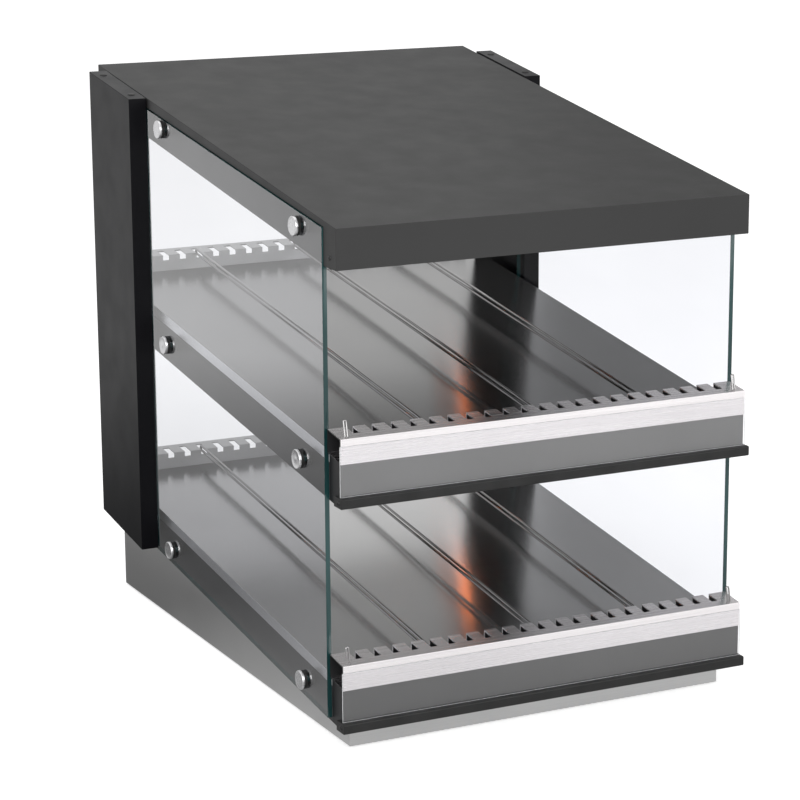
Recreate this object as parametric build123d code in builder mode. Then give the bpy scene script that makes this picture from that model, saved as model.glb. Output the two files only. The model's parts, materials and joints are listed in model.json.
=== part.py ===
from build123d import *
import math
import os

# Heated display case: two sloping heated shelves between glass sides, under a sloping canopy.
# X runs to the right seen from the front, -Y is the front, +Z is up, millimetres.
# The origin is the middle of the floor area that the case covers.

# Width: each piece takes its half width from the deck's and from what stands beside it.
sheet = 1.5
deck_half_width = 272.0
canopy_lap = 4.0
rail_lap = 2.3
strip_lap = 1.5
cover_lap = 3.3
trim_lap = 5.5
mat_side_margin = 42.0
rear_rail_margin = 1.0
loop_margin = 5.0
base_side_margin = 12.0
tube_margin = 17.0
column_stand_off = 0.5
column_width = 24.1
skirt_outer = deck_half_width - sheet
skirt_inner = skirt_outer - sheet
glass_stand_off = 5.5
glass_thickness = 6.0
glass_inner = skirt_outer + glass_stand_off
glass_outer = glass_inner + glass_thickness

# Depth: the deck's front and back place the rest.
deck_front = -352.0
deck_back = 391.0
canopy_overhang = 34.0
canopy_setback = 2.0
rear_rail_depth = 32.0
divider_overhang = 14.0
divider_back_reach = 13.0
glass_setback = 1.0
glass_rear_lap = 10.0
knob_front_inset = 69.0
knob_back_inset = 62.0
column_setback = 40.0
column_depth = 149.0
base_overhang = 14.0
base_back_reach = 6.0
tube_setback = 21.0
tube_length = 130.0

# Canopy
canopy_half_width = glass_inner + canopy_lap
canopy_front = deck_front - canopy_overhang
canopy_back = deck_back - canopy_setback
roof_height = 691.5
roof_angle = 8.0
fascia_height = 49.0
side_return_depth = 35.0
lip_front = 8.0
lip_back = 15.0
canopy_side_drop = 58.8
reflector_recess = 20.0

# Shelves
upper_deck_height = 411.0
lower_deck_height = 130.0
upper_angle = 7.45
lower_angle = 6.9
band_height = 14.0
skirt_height = 62.0
tray_lift = 20.0
mat_half_width = deck_half_width - mat_side_margin
mat_thickness = 3.0
mat_margin = 20.0

# Front rail, ticket strip and trim of one shelf
box_half_width = glass_inner
rail_half_width = box_half_width + rail_lap
rail_depth = 36.0
rail_wall = 1.6
rail_rise = 29.8
rail_top_fall = 4.7
rail_foot = 1.3
rail_band = 31.0
ledge_height = 8.5
ledge_step = 1.2
strip_half_width = box_half_width + strip_lap
strip_height = 39.3
strip_thickness = 1.5
cover_half_width = box_half_width + cover_lap
cover_thickness = 1.2
cover_gap = 0.8
trim_half_width = box_half_width + trim_lap
trim_height = 12.5
trim_nose = 9.0
trim_depth = 22.0
screw_radius = 3.0
screw_head = 1.2
slot_pitch = 25.0
slot_width = 9.0
slot_length = 22.0
slot_margin = 12.0
slots_per_side = int((deck_half_width - slot_margin) // slot_pitch)

# Rear rail of one shelf
rear_rail_half_width = deck_half_width - rear_rail_margin
rear_rail_face = deck_back - rear_rail_depth
rear_rail_rise = 22.0
rear_rail_climb = 3.5
rear_window_side = 12.0
rear_window_edge = 3.0

# Wire dividers and end loops
wire_radius = 1.75
wire_low = 17.0
wire_spacing = 6.5
wire_peg = 8.0
wire_bend = 5.0
peg_spacing = 8.0
divider_front = deck_front - divider_overhang
divider_back = rear_rail_face + divider_back_reach
slots_per_lane = 6
divider_step = slots_per_lane * slot_pitch
divider_gap = 0.3
loop_wire_radius = 1.1
loop_height = 20.0
loop_half_span = 1.7
loop_lean = 13.0
loop_place = deck_half_width - loop_margin
loop_setback = 6.5
loop_root = 4.0
hole_gap = 0.1

# Glass sides and their fixings
glass_front = deck_front + glass_setback
glass_top_gap = 0.5
glass_bottom_drop = 50.0
knob_front = glass_front + knob_front_inset
knob_drop = 30.5
canopy_knob_drop = 26.4
cap_radius = 12.0
cap_thickness = 7.0
cap_chamfer = 1.0
spacer_radius = 9.0
stud_radius = 3.0
glass_hole_radius = 4.0
stud_head_radius = 5.5
stud_head_length = 3.5
stud_in_cap = 4.5

# Columns, which stand outside the glass and cover its rear edges
column_inner = glass_outer + column_stand_off
column_outer = column_inner + column_width
column_back = deck_back - column_setback
column_front = column_back - column_depth
column_rise = 0.9
column_drop = 50.9
column_top_height = roof_height + column_rise
column_bottom_height = lower_deck_height - column_drop
glass_back = column_front + glass_rear_lap
knob_back = glass_back - knob_back_inset
liner_thickness = 1.2
plug_radius = 5.0
plug_thickness = 1.2
plug_inset = 22.0
column_spacer_radius = 8.0
column_spacer_inset = 38.0

# Base
base_half_width = deck_half_width - base_side_margin
base_front = deck_front - base_overhang
base_back = deck_back + base_back_reach
base_clearance = 2.0
floor_height = 8.0
foot_radius = 15.0
foot_inset = 42.0
vent_length = 60.0
vent_width = 5.0
vent_pitch = 14.0
vent_count = 8
vent_spread = 2 * base_half_width / 3

# Rear controls
panel_half_width = 150.0
panel_low = 26.0
panel_high = 106.0
panel_recess = 26.0
switch_place = 50.0
switch_width = 25.0
switch_height = 31.0
bezel_thickness = 2.0
housing_wall = 1.5
rocker_opening_width = 19.0
rocker_opening_height = 26.0
rocker_depth = 16.0
rocker_gap = 0.3
rocker_tilt = 10.0
rocker_pivot_depth = 2.5
rocker_pin = 1.5
rocker_centre = 3.5
rocker_end = 5.2
rocker_reach = 11.4
rocker_tail = 3.0
pin_clearance = 0.05
thermostat_place = 98.0
thermostat_body = 36.0
thermostat_body_depth = 24.0
shaft_radius = 3.0
shaft_length = 14.0
shaft_clearance = 0.05
knob_radius = 15.0
knob_skirt = 5.0
knob_grip_length = 17.0
knob_grip_width = 9.0
knob_grip_margin = 2.5
knob_stand_off = 0.6
lamp_place = 18.0
lamp_radius = 5.0
lamp_flange = 6.5
lamp_length = 5.0
gland_place = 133.0
gland_radius = 10.0
gland_bore = 4.0
gland_thread = 7.5

# Infrared tubes
tube_place = deck_half_width - tube_margin
tube_radius = 5.0
tube_high = deck_back - tube_setback
tube_low = tube_high - tube_length
tube_drop = 8.5
holder_length = 9.0
holder_half_width = 7.0
holder_below = 6.5
holder_grip = 5.0
guard_wire = 1.0
guard_bar = 0.7
guard_gap = 0.1
guard_half_width = 5.0
guard_bars = 6

os.makedirs("parts", exist_ok=True)


def finish(part, name):
    """Label one finished piece and write it."""
    part.label = name
    export_step(part, f"parts/{name}.step")


def prism(points, x_low, x_high, mode=Mode.ADD):
    """Carry a closed side outline, points as (y, z), from x_low to x_high."""
    with BuildSketch(Plane.YZ.offset(x_low)) as outline:
        with BuildLine():
            Polyline(*points, close=True)
        make_face()
    extrude(to_extrude=outline.sketch, amount=x_high - x_low, mode=mode)


def block(x_low, x_high, y_low, y_high, z_low, z_high, mode=Mode.ADD):
    """A rectangular block between its limits."""
    prism([(y_low, z_low), (y_high, z_low), (y_high, z_high), (y_low, z_high)], x_low, x_high, mode)


def x_rod(x_low, x_high, y, z, radius, mode=Mode.ADD):
    """A round bar along X."""
    with BuildSketch(Plane.YZ.offset(x_low)) as outline:
        with Locations((y, z)):
            Circle(radius)
    extrude(to_extrude=outline.sketch, amount=x_high - x_low, mode=mode)


def y_rod(x, z, y_low, y_high, radius, mode=Mode.ADD):
    """A round bar along Y."""
    with BuildSketch(Plane.XZ.offset(-y_high)) as outline:
        with Locations((x, z)):
            Circle(radius)
    extrude(to_extrude=outline.sketch, amount=y_high - y_low, mode=mode)


def z_rod(x, y, z_low, z_high, radius, mode=Mode.ADD):
    """A round upright bar."""
    with BuildSketch(Plane.XY.offset(z_low)) as outline:
        with Locations((x, y)):
            Circle(radius)
    extrude(to_extrude=outline.sketch, amount=z_high - z_low, mode=mode)


def slope_rod(x, line, drop, y_low, y_high, radius, mode=Mode.ADD):
    """A round bar that runs along a sloping line, at a drop below it."""
    start = Vector(x, y_low, line(y_low) - drop)
    reach = Vector(x, y_high, line(y_high) - drop) - start
    with BuildSketch(Plane(origin=start, z_dir=reach)) as outline:
        Circle(radius)
    extrude(to_extrude=outline.sketch, amount=reach.length, mode=mode)


def mirror_sides(side, low, high):
    """The limits along X of a piece on one side: -1 is left, 1 is right."""
    return (low, high) if side > 0 else (-high, -low)


def roof(y):
    """Height of the roof's upper face."""
    return roof_height + math.tan(math.radians(roof_angle)) * y


def column_line(height, y):
    """Height of a sloping end of the columns."""
    return height + math.tan(math.radians(roof_angle)) * y


def band(line, y_low, y_high, upper, lower):
    """Side outline of a sheet that follows a sloping line, between two drops below it."""
    return [
        (y_low, line(y_low) - lower),
        (y_high, line(y_high) - lower),
        (y_high, line(y_high) - upper),
        (y_low, line(y_low) - upper),
    ]


def loop_foot(shelf):
    """Height of the lower ends of the end loops, just under the rail's top sheet."""
    return shelf.rail_top + rail_top_fall * loop_setback / rail_depth - loop_root


def loop_plane(shelf, x):
    """Plane of an end loop, which leans back from its foot."""
    lean = math.radians(loop_lean)
    foot = (x, deck_front - rail_depth + loop_setback, loop_foot(shelf))
    return Plane(origin=foot, x_dir=(1, 0, 0), z_dir=(0, -math.cos(lean), math.sin(lean)))


class Shelf:
    """Heights of one sloping shelf."""

    def __init__(self, name, height, angle):
        self.name = name
        self.height = height
        self.rise = math.tan(math.radians(angle))
        self.front = self.line(deck_front)
        self.rail_top = self.front + rail_rise - rail_top_fall
        self.box_bottom = self.rail_top - rail_band - strip_height - trim_height + sheet

    def line(self, y):
        """Height of the deck's upper face."""
        return self.height + self.rise * y


shelves = [
    Shelf("upper", upper_deck_height, upper_angle),
    Shelf("lower", lower_deck_height, lower_angle),
]
tray_drop = skirt_height - tray_lift
slots = [slot_pitch * n for n in range(-slots_per_side, slots_per_side + 1)]
sides = (-1, 1)
knob_rows = (knob_front, knob_back)


# Canopy cover: one folded sheet with a deep fascia, short side returns and a rear flange.
fascia_bottom = roof(canopy_front) - fascia_height
return_back = canopy_front + side_return_depth
with BuildPart() as canopy_cover:
    prism(
        [
            (canopy_front, fascia_bottom),
            (canopy_front, roof(canopy_front)),
            (canopy_back, roof(canopy_back)),
            (canopy_back, roof(canopy_back) - lip_back),
            (return_back, roof(return_back) - lip_front),
            (return_back, fascia_bottom),
        ],
        -canopy_half_width,
        canopy_half_width,
    )
    prism(
        [
            (canopy_front + sheet, fascia_bottom - sheet),
            (canopy_front + sheet, roof(canopy_front + sheet) - sheet),
            (canopy_back - sheet, roof(canopy_back - sheet) - sheet),
            (canopy_back - sheet, fascia_bottom - sheet),
        ],
        -canopy_half_width + sheet,
        canopy_half_width - sheet,
        Mode.SUBTRACT,
    )
    block(
        -canopy_half_width + sheet,
        canopy_half_width - sheet,
        canopy_front + sheet,
        return_back,
        fascia_bottom,
        fascia_bottom + sheet,
    )
finish(canopy_cover.part, "canopy_cover")

# Canopy side panels, which the glass is fastened to.
for side, name in zip(sides, ("left", "right")):
    low, high = mirror_sides(side, skirt_inner, skirt_outer)
    with BuildPart() as canopy_side:
        prism(band(roof, return_back, canopy_back - sheet, sheet, canopy_side_drop), low, high)
        for y in knob_rows:
            x_rod(low, high, y, roof(y) - canopy_knob_drop, stud_radius, Mode.SUBTRACT)
    finish(canopy_side.part, f"canopy_{name}_side")

# Reflector under the canopy, turned up to the roof sheet at the front.
reflector_drop = canopy_side_drop - reflector_recess
with BuildPart() as canopy_reflector:
    prism(
        band(roof, return_back, canopy_back - sheet, reflector_drop, reflector_drop + sheet),
        -skirt_inner,
        skirt_inner,
    )
    prism(
        band(roof, return_back, return_back + sheet, sheet, reflector_drop + sheet),
        -skirt_inner,
        skirt_inner,
    )
finish(canopy_reflector.part, "canopy_reflector")


def build_deck(shelf):
    """Heated deck: a folded sheet with a short band down each side."""
    with BuildPart() as deck:
        y_high = deck_back - sheet
        prism(band(shelf.line, deck_front, y_high, 0, band_height), -deck_half_width, deck_half_width)
        prism(
            band(shelf.line, deck_front - sheet, y_high + sheet, sheet, band_height + sheet),
            -skirt_outer,
            skirt_outer,
            Mode.SUBTRACT,
        )
    finish(deck.part, f"{shelf.name}_deck")


def build_skirts(shelf):
    """Side skirts that hang behind the deck's bands."""
    for side, side_name in zip(sides, ("left", "right")):
        low, high = mirror_sides(side, skirt_inner, skirt_outer)
        with BuildPart() as skirt:
            prism(band(shelf.line, deck_front, deck_back - sheet, sheet, skirt_height), low, high)
            for y in knob_rows:
                x_rod(low, high, y, shelf.line(y) - knob_drop, stud_radius, Mode.SUBTRACT)
        finish(skirt.part, f"{shelf.name}_{side_name}_skirt")


def build_tray(shelf):
    """Closing sheet below the heater, set up between the skirts."""
    with BuildPart() as tray:
        prism(
            band(shelf.line, deck_front, deck_back - sheet, tray_drop, tray_drop + sheet),
            -skirt_inner,
            skirt_inner,
        )
    finish(tray.part, f"{shelf.name}_under_tray")


def build_mat(shelf):
    """Heating mat bonded under the deck."""
    with BuildPart() as mat:
        prism(
            band(
                shelf.line,
                deck_front + mat_margin,
                rear_rail_face - mat_margin,
                sheet,
                sheet + mat_thickness,
            ),
            -mat_half_width,
            mat_half_width,
        )
    finish(mat.part, f"{shelf.name}_heat_mat")


def build_rear_rail(shelf):
    """Slotted rear rail, open at its back, with an apron that closes the back of the shelf."""
    face = rear_rail_face
    top = shelf.line(face) + rear_rail_rise
    back_top = top + rear_rail_climb
    back_foot = shelf.line(deck_back) - skirt_height
    seat = wire_low - wire_radius - divider_gap
    with BuildPart() as rail:
        prism(
            [
                (face, shelf.line(face)),
                (face, top),
                (deck_back, back_top),
                (deck_back, back_foot),
                (deck_back - sheet, back_foot),
                (deck_back - sheet, back_top - sheet),
                (face + sheet, top - sheet),
                (face + sheet, shelf.line(face + sheet)),
            ],
            -rear_rail_half_width,
            rear_rail_half_width,
        )
        for x in slots:
            block(
                x - slot_width / 2,
                x + slot_width / 2,
                face - sheet,
                face + slot_length,
                shelf.line(face) + seat,
                back_top + sheet,
                Mode.SUBTRACT,
            )
        block(
            -rear_rail_half_width + rear_window_side,
            rear_rail_half_width - rear_window_side,
            deck_back - 2 * sheet,
            deck_back + sheet,
            shelf.line(deck_back) + rear_window_edge,
            back_top - sheet - rear_window_edge,
            Mode.SUBTRACT,
        )
    finish(rail.part, f"{shelf.name}_rear_rail")


def build_front_rail(shelf):
    """Hollow front rail: bright band, sloping slotted top, rounded back and slanting underside."""
    face = deck_front - rail_depth
    top = shelf.rail_top
    peak = top + rail_top_fall
    foot = shelf.front + rail_foot
    wall = rail_wall
    ledge = top - ledge_height
    bottom = top - rail_band
    top_slope = rail_top_fall / rail_depth
    under_slope = (foot - bottom) / rail_depth
    seat = shelf.front + wire_low - wire_radius - divider_gap
    with BuildPart() as rail:
        prism(
            [
                (face, bottom),
                (face, ledge),
                (face - ledge_step, ledge),
                (face - ledge_step, top - ledge_step / 2),
                (face - ledge_step / 2, top),
                (deck_front, peak),
                (deck_front, foot),
            ],
            -rail_half_width,
            rail_half_width,
        )
        prism(
            [
                (face + wall, bottom + wall * (1 + under_slope)),
                (face + wall, top - wall),
                (deck_front - wall, peak - wall * (1 + top_slope)),
                (deck_front - wall, foot + wall),
            ],
            -rail_half_width - wall,
            rail_half_width + wall,
            Mode.SUBTRACT,
        )
        for x in slots:
            block(
                x - slot_width / 2,
                x + slot_width / 2,
                deck_front - slot_length,
                deck_front + sheet,
                seat,
                peak + sheet,
                Mode.SUBTRACT,
            )
        for side in sides:
            for leg in sides:
                plane = loop_plane(shelf, side * loop_place + leg * loop_half_span)
                with BuildSketch(Plane(origin=plane.origin, z_dir=plane.y_dir)) as hole:
                    Circle(loop_wire_radius + hole_gap)
                extrude(to_extrude=hole.sketch, amount=2 * loop_root, mode=Mode.SUBTRACT)
    finish(rail.part, f"{shelf.name}_front_rail")


def build_front_box(shelf):
    """Front box behind the ticket strip, open at its back."""
    face = deck_front - rail_depth + strip_thickness
    top_front = shelf.rail_top - rail_band
    slant = (shelf.front + rail_foot - top_front) / rail_depth
    bottom = shelf.box_bottom
    with BuildPart() as box:
        prism(
            [
                (face, bottom),
                (face, top_front + slant * strip_thickness),
                (deck_front, shelf.front + rail_foot),
                (deck_front, bottom),
            ],
            -box_half_width,
            box_half_width,
        )
        prism(
            [
                (face + sheet, bottom + sheet),
                (face + sheet, top_front + slant * strip_thickness - sheet),
                (deck_front + sheet, shelf.front + rail_foot - sheet),
                (deck_front + sheet, bottom + sheet),
            ],
            -box_half_width + sheet,
            box_half_width - sheet,
            Mode.SUBTRACT,
        )
    finish(box.part, f"{shelf.name}_front_box")


def build_ticket_strip(shelf):
    """Flat strip for price tickets, below the bright band."""
    face = deck_front - rail_depth
    top = shelf.rail_top - rail_band
    with BuildPart() as strip:
        block(
            -strip_half_width,
            strip_half_width,
            face,
            face + strip_thickness,
            top - strip_height,
            top,
        )
    finish(strip.part, f"{shelf.name}_ticket_strip")
    with BuildPart() as cover:
        block(
            -cover_half_width,
            cover_half_width,
            face - cover_thickness,
            face,
            top - strip_height,
            shelf.rail_top - ledge_height - cover_gap,
        )
    finish(cover.part, f"{shelf.name}_ticket_cover")


def build_trim(shelf):
    """Black trim along the foot of the ticket strip, with a flange under the front box."""
    face = deck_front - rail_depth
    top = shelf.box_bottom - sheet + trim_height
    bottom = shelf.box_bottom - sheet
    back = face - trim_nose + trim_depth
    with BuildPart() as trim:
        prism(
            [
                (face - trim_nose, bottom),
                (face - trim_nose, top),
                (face + strip_thickness, top),
                (face + strip_thickness, shelf.box_bottom),
                (back, shelf.box_bottom),
                (back, bottom),
            ],
            -box_half_width,
            box_half_width,
        )
        for side in sides:
            low, high = mirror_sides(side, box_half_width, trim_half_width)
            block(low, high, face - trim_nose, back, bottom, top)
        nose_edges = trim.edges().filter_by(Axis.X).group_by(Axis.Y)[0]
        chamfer(nose_edges, length=ledge_step)
    finish(trim.part, f"{shelf.name}_bottom_trim")


def build_dividers(shelf):
    """Lift-out dividers, each one wire bent into a long flat loop with two pegs at the front."""
    high = wire_low + wire_spacing
    lower_front = divider_front + peg_spacing
    peg_foot = shelf.front + wire_peg
    turn = wire_spacing / 2 - hole_gap
    for x, place in ((-divider_step, "left"), (0, "centre"), (divider_step, "right")):
        with BuildPart() as divider:
            with BuildLine(Plane.YZ.offset(x)) as route:
                FilletPolyline(
                    (divider_front, peg_foot),
                    (divider_front, shelf.line(divider_front) + high),
                    (divider_back, shelf.line(divider_back) + high),
                    (divider_back, shelf.line(divider_back) + wire_low),
                    (lower_front, shelf.line(lower_front) + wire_low),
                    (lower_front, peg_foot),
                    radius=[wire_bend, turn, turn, wire_bend],
                )
            with BuildSketch(Plane(origin=route.line @ 0, z_dir=route.line % 0)):
                Circle(wire_radius)
            sweep()
        finish(divider.part, f"{shelf.name}_{place}_divider")


def build_end_loops(shelf):
    """Small upright wire loops near both ends of the front rail."""
    top = loop_root + loop_height - loop_wire_radius
    loops = []
    for side in sides:
        with BuildPart() as loop:
            with BuildLine(loop_plane(shelf, side * loop_place)) as route:
                FilletPolyline(
                    (-loop_half_span, 0),
                    (-loop_half_span, top),
                    (loop_half_span, top),
                    (loop_half_span, 0),
                    radius=loop_half_span - hole_gap,
                )
            with BuildSketch(Plane(origin=route.line @ 0, z_dir=route.line % 0)):
                Circle(loop_wire_radius)
            sweep()
        loops.append(loop.part)
    finish(Compound(children=loops), f"{shelf.name}_end_loops")


for shelf in shelves:
    build_deck(shelf)
    build_skirts(shelf)
    build_tray(shelf)
    build_mat(shelf)
    build_rear_rail(shelf)
    build_front_rail(shelf)
    build_front_box(shelf)
    build_ticket_strip(shelf)
    build_trim(shelf)
    build_dividers(shelf)
    build_end_loops(shelf)

upper, lower = shelves

# Screws in the ends of the trims and in the canopy's side returns.
screw_y = deck_front - rail_depth
screw_seats = [(trim_half_width, screw_y, shelf.box_bottom - sheet + trim_height / 2) for shelf in shelves]
screw_seats.append((canopy_half_width, canopy_front + side_return_depth / 2, fascia_bottom + trim_height))
with BuildPart() as trim_screws:
    for reach, y, z in screw_seats:
        for side in sides:
            low, high = mirror_sides(side, reach, reach + screw_head)
            x_rod(low, high, y, z, screw_radius)
finish(trim_screws.part, "trim_screws")

# Glass sides: under the canopy's lip, with their rear edges behind the columns.
lip_fall = (lip_back - lip_front) / (canopy_back - return_back)
knob_lines = [(roof, canopy_knob_drop), (upper.line, knob_drop), (lower.line, knob_drop)]
knob_seats = [(y, line(y) - drop) for line, drop in knob_lines for y in knob_rows]


def lip_line(y):
    """Height of the glass's upper edge, just below the canopy's lip."""
    return roof(y) - lip_front - lip_fall * (y - return_back) - glass_top_gap


for side, name in zip(sides, ("left", "right")):
    low, high = mirror_sides(side, glass_inner, glass_outer)
    with BuildPart() as glass:
        prism(
            [
                (glass_front, lower.line(glass_front) - glass_bottom_drop),
                (glass_back, lower.line(glass_back) - glass_bottom_drop),
                (glass_back, lip_line(glass_back)),
                (glass_front, lip_line(glass_front)),
            ],
            low,
            high,
        )
        for y, z in knob_seats:
            x_rod(low, high, y, z, glass_hole_radius, Mode.SUBTRACT)
    finish(glass.part, f"{name}_glass")

with BuildPart() as glass_spacers:
    for side in sides:
        low, high = mirror_sides(side, skirt_outer, glass_inner)
        for y, z in knob_seats:
            x_rod(low, high, y, z, spacer_radius)
            x_rod(low, high, y, z, stud_radius, Mode.SUBTRACT)
finish(glass_spacers.part, "glass_spacers")

with BuildPart() as glass_screws:
    for side in sides:
        low, high = mirror_sides(side, skirt_inner, glass_outer + stud_in_cap)
        head_low, head_high = mirror_sides(side, skirt_inner - stud_head_length, skirt_inner)
        for y, z in knob_seats:
            x_rod(low, high, y, z, stud_radius)
            x_rod(head_low, head_high, y, z, stud_head_radius)
finish(glass_screws.part, "glass_screws")

caps = []
for side in sides:
    low, high = mirror_sides(side, glass_outer, glass_outer + cap_thickness)
    bore_low, bore_high = mirror_sides(side, glass_outer, glass_outer + stud_in_cap)
    for y, z in knob_seats:
        with BuildPart() as cap:
            x_rod(low, high, y, z, cap_radius)
            rim = cap.edges().filter_by(GeomType.CIRCLE).sort_by(Axis.X)[-1 if side > 0 else 0]
            chamfer(rim, length=cap_chamfer)
            x_rod(bore_low, bore_high, y, z, stud_radius, Mode.SUBTRACT)
        caps.append(cap.part)
finish(Compound(children=caps), "glass_caps")


# Columns: folded covers outboard of the glass, closed by a liner on the inner side.
def column_top(y):
    """Height of the columns' upper ends."""
    return column_line(column_top_height, y)


def column_outline(wall):
    """Side outline of the columns, a wall's thickness inside their faces."""
    y_low = column_front + wall
    y_high = column_back - wall
    return [
        (y_low, column_line(column_bottom_height, y_low) + wall),
        (y_high, column_line(column_bottom_height, y_high) + wall),
        (y_high, column_top(y_high) - wall),
        (y_low, column_top(y_low) - wall),
    ]


for side, name in zip(sides, ("left", "right")):
    low, high = mirror_sides(side, column_inner, column_outer)
    hollow_low, hollow_high = mirror_sides(side, column_inner - sheet, column_outer - sheet)
    with BuildPart() as column:
        prism(column_outline(0), low, high)
        prism(column_outline(sheet), hollow_low, hollow_high, Mode.SUBTRACT)
    finish(column.part, f"{name}_column")

with BuildPart() as column_liners:
    for side in sides:
        low, high = mirror_sides(side, column_inner, column_inner + liner_thickness)
        prism(column_outline(sheet), low, high)
finish(column_liners.part, "column_liners")

column_middle = (column_inner + column_outer) / 2
with BuildPart() as column_plugs:
    for side in sides:
        for y in (column_front + plug_inset, column_back - plug_inset):
            lean = Vector(0, -math.tan(math.radians(roof_angle)), 1)
            seat = Plane(origin=(side * column_middle, y, column_top(y)), z_dir=lean)
            with BuildSketch(seat) as plug:
                Circle(plug_radius)
            extrude(to_extrude=plug.sketch, amount=plug_thickness)
finish(column_plugs.part, "column_plugs")

with BuildPart() as column_spacers:
    for side in sides:
        low, high = mirror_sides(side, skirt_outer, column_inner)
        for y in (column_front + column_spacer_inset, column_back - column_spacer_inset):
            for line, drop in knob_lines:
                x_rod(low, high, y, line(y) - drop, column_spacer_radius)
finish(column_spacers.part, "column_spacers")

# Infrared tubes in both rear corners, under the canopy and under the upper shelf.
canopy_tube = (roof, reflector_drop + sheet)
shelf_tube = (upper.line, tray_drop + sheet)
tube_seats = [(side * tube_place, line, drop) for line, drop in (canopy_tube, shelf_tube) for side in sides]

with BuildPart() as heat_tubes:
    for x, line, drop in tube_seats:
        slope_rod(x, line, drop + tube_drop, tube_low, tube_high, tube_radius)
finish(heat_tubes.part, "heat_tubes")

with BuildPart() as tube_holders:
    for x, line, drop in tube_seats:
        foot = drop + tube_drop + holder_below
        for y in (tube_low + holder_grip - holder_length, tube_high - holder_grip):
            prism(band(line, y, y + holder_length, drop, foot), x - holder_half_width, x + holder_half_width)
        slope_rod(x, line, drop + tube_drop, tube_low, tube_high, tube_radius, Mode.SUBTRACT)
finish(tube_holders.part, "tube_holders")

with BuildPart() as tube_guards:
    bar_pitch = (tube_high - tube_low - 2 * holder_length) / (guard_bars - 1)
    for x, line, drop in tube_seats:
        guard_drop = drop + tube_drop + holder_below + guard_gap + guard_wire
        for side in sides:
            slope_rod(x + side * guard_half_width, line, guard_drop, tube_low, tube_high, guard_wire)
        for n in range(guard_bars):
            y = tube_low + holder_length + n * bar_pitch
            x_rod(x - guard_half_width, x + guard_half_width, y, line(y) - guard_drop, guard_bar)
finish(tube_guards.part, "tube_guards")

# Base: four folded walls under the lower shelf, with a floor, feet and a recessed rear panel.
apron_foot = lower.line(deck_back) - skirt_height
tray_under = tray_drop + sheet
with BuildPart() as base_plinth:
    prism(
        [
            (base_front, base_clearance),
            (base_back, base_clearance),
            (base_back, apron_foot),
            (deck_back - sheet, apron_foot),
            (deck_back - sheet, lower.line(deck_back - sheet) - tray_under),
            (deck_front, lower.line(deck_front) - tray_under),
            (deck_front, lower.box_bottom),
            (base_front, lower.box_bottom),
        ],
        -base_half_width,
        base_half_width,
    )
    block(
        -base_half_width + sheet,
        base_half_width - sheet,
        base_front + sheet,
        base_back - sheet,
        0,
        roof_height,
        Mode.SUBTRACT,
    )
    block(
        -base_half_width + sheet,
        base_half_width - sheet,
        deck_back - sheet,
        base_back - sheet,
        apron_foot - sheet,
        apron_foot,
    )
    block(
        -panel_half_width,
        panel_half_width,
        base_back - 2 * sheet,
        base_back,
        panel_low,
        panel_high,
        Mode.SUBTRACT,
    )
finish(base_plinth.part, "base_plinth")

floor_front = base_front + sheet
floor_back = base_back - sheet
with BuildPart() as base_floor:
    block(
        -base_half_width + sheet,
        base_half_width - sheet,
        floor_front,
        floor_back,
        floor_height,
        floor_height + sheet,
    )
    with BuildSketch(Plane.XY.offset(floor_height)) as vents:
        with GridLocations(vent_spread, vent_pitch, 2, vent_count):
            SlotOverall(vent_length, vent_width)
    extrude(to_extrude=vents.sketch, amount=sheet, mode=Mode.SUBTRACT)
finish(base_floor.part, "base_floor")

with BuildPart() as rubber_feet:
    for side in sides:
        for y in (floor_front + foot_inset, floor_back - foot_inset):
            z_rod(side * (base_half_width - foot_inset), y, 0, floor_height, foot_radius)
finish(rubber_feet.part, "rubber_feet")

# Recessed rear panel: the controls stay inside the case's outline.
panel_face = base_back - panel_recess
panel_under = panel_face - sheet
panel_middle = (panel_low + panel_high) / 2
housing_half_width = rocker_opening_width / 2 + housing_wall
housing_half_height = rocker_opening_height / 2 + housing_wall
with BuildPart() as control_panel:
    block(-panel_half_width, panel_half_width, panel_under, base_back, panel_low, panel_high)
    block(
        -panel_half_width + sheet,
        panel_half_width - sheet,
        panel_face,
        base_back,
        panel_low + sheet,
        panel_high - sheet,
        Mode.SUBTRACT,
    )
    for side in sides:
        block(
            side * switch_place - housing_half_width,
            side * switch_place + housing_half_width,
            panel_under,
            panel_face,
            panel_middle - housing_half_height,
            panel_middle + housing_half_height,
            Mode.SUBTRACT,
        )
        y_rod(
            side * thermostat_place,
            panel_middle,
            panel_under,
            panel_face,
            shaft_radius + hole_gap,
            Mode.SUBTRACT,
        )
        y_rod(side * lamp_place, panel_middle, panel_under, panel_face, lamp_radius, Mode.SUBTRACT)
    y_rod(gland_place, panel_middle, panel_under, panel_face, gland_thread, Mode.SUBTRACT)
finish(control_panel.part, "control_panel")

# Rocker switches: housings with pin holes, and rockers that tilt about the pins.
pivot_y = panel_face + bezel_thickness - rocker_pivot_depth
bezel_front = panel_face + bezel_thickness
with BuildPart() as switch_housings:
    for side in sides:
        x = side * switch_place
        half_width = switch_width / 2
        half_height = switch_height / 2
        block(
            x - half_width,
            x + half_width,
            panel_face,
            bezel_front,
            panel_middle - half_height,
            panel_middle + half_height,
        )
        block(
            x - housing_half_width,
            x + housing_half_width,
            bezel_front - rocker_depth - housing_wall,
            panel_face,
            panel_middle - housing_half_height,
            panel_middle + housing_half_height,
        )
        block(
            x - rocker_opening_width / 2,
            x + rocker_opening_width / 2,
            bezel_front - rocker_depth,
            bezel_front,
            panel_middle - rocker_opening_height / 2,
            panel_middle + rocker_opening_height / 2,
            Mode.SUBTRACT,
        )
        pin_reach = rocker_opening_width / 2 + housing_wall
        x_rod(x - pin_reach, x + pin_reach, pivot_y, panel_middle, rocker_pin + pin_clearance, Mode.SUBTRACT)
finish(switch_housings.part, "switch_housings")

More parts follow.
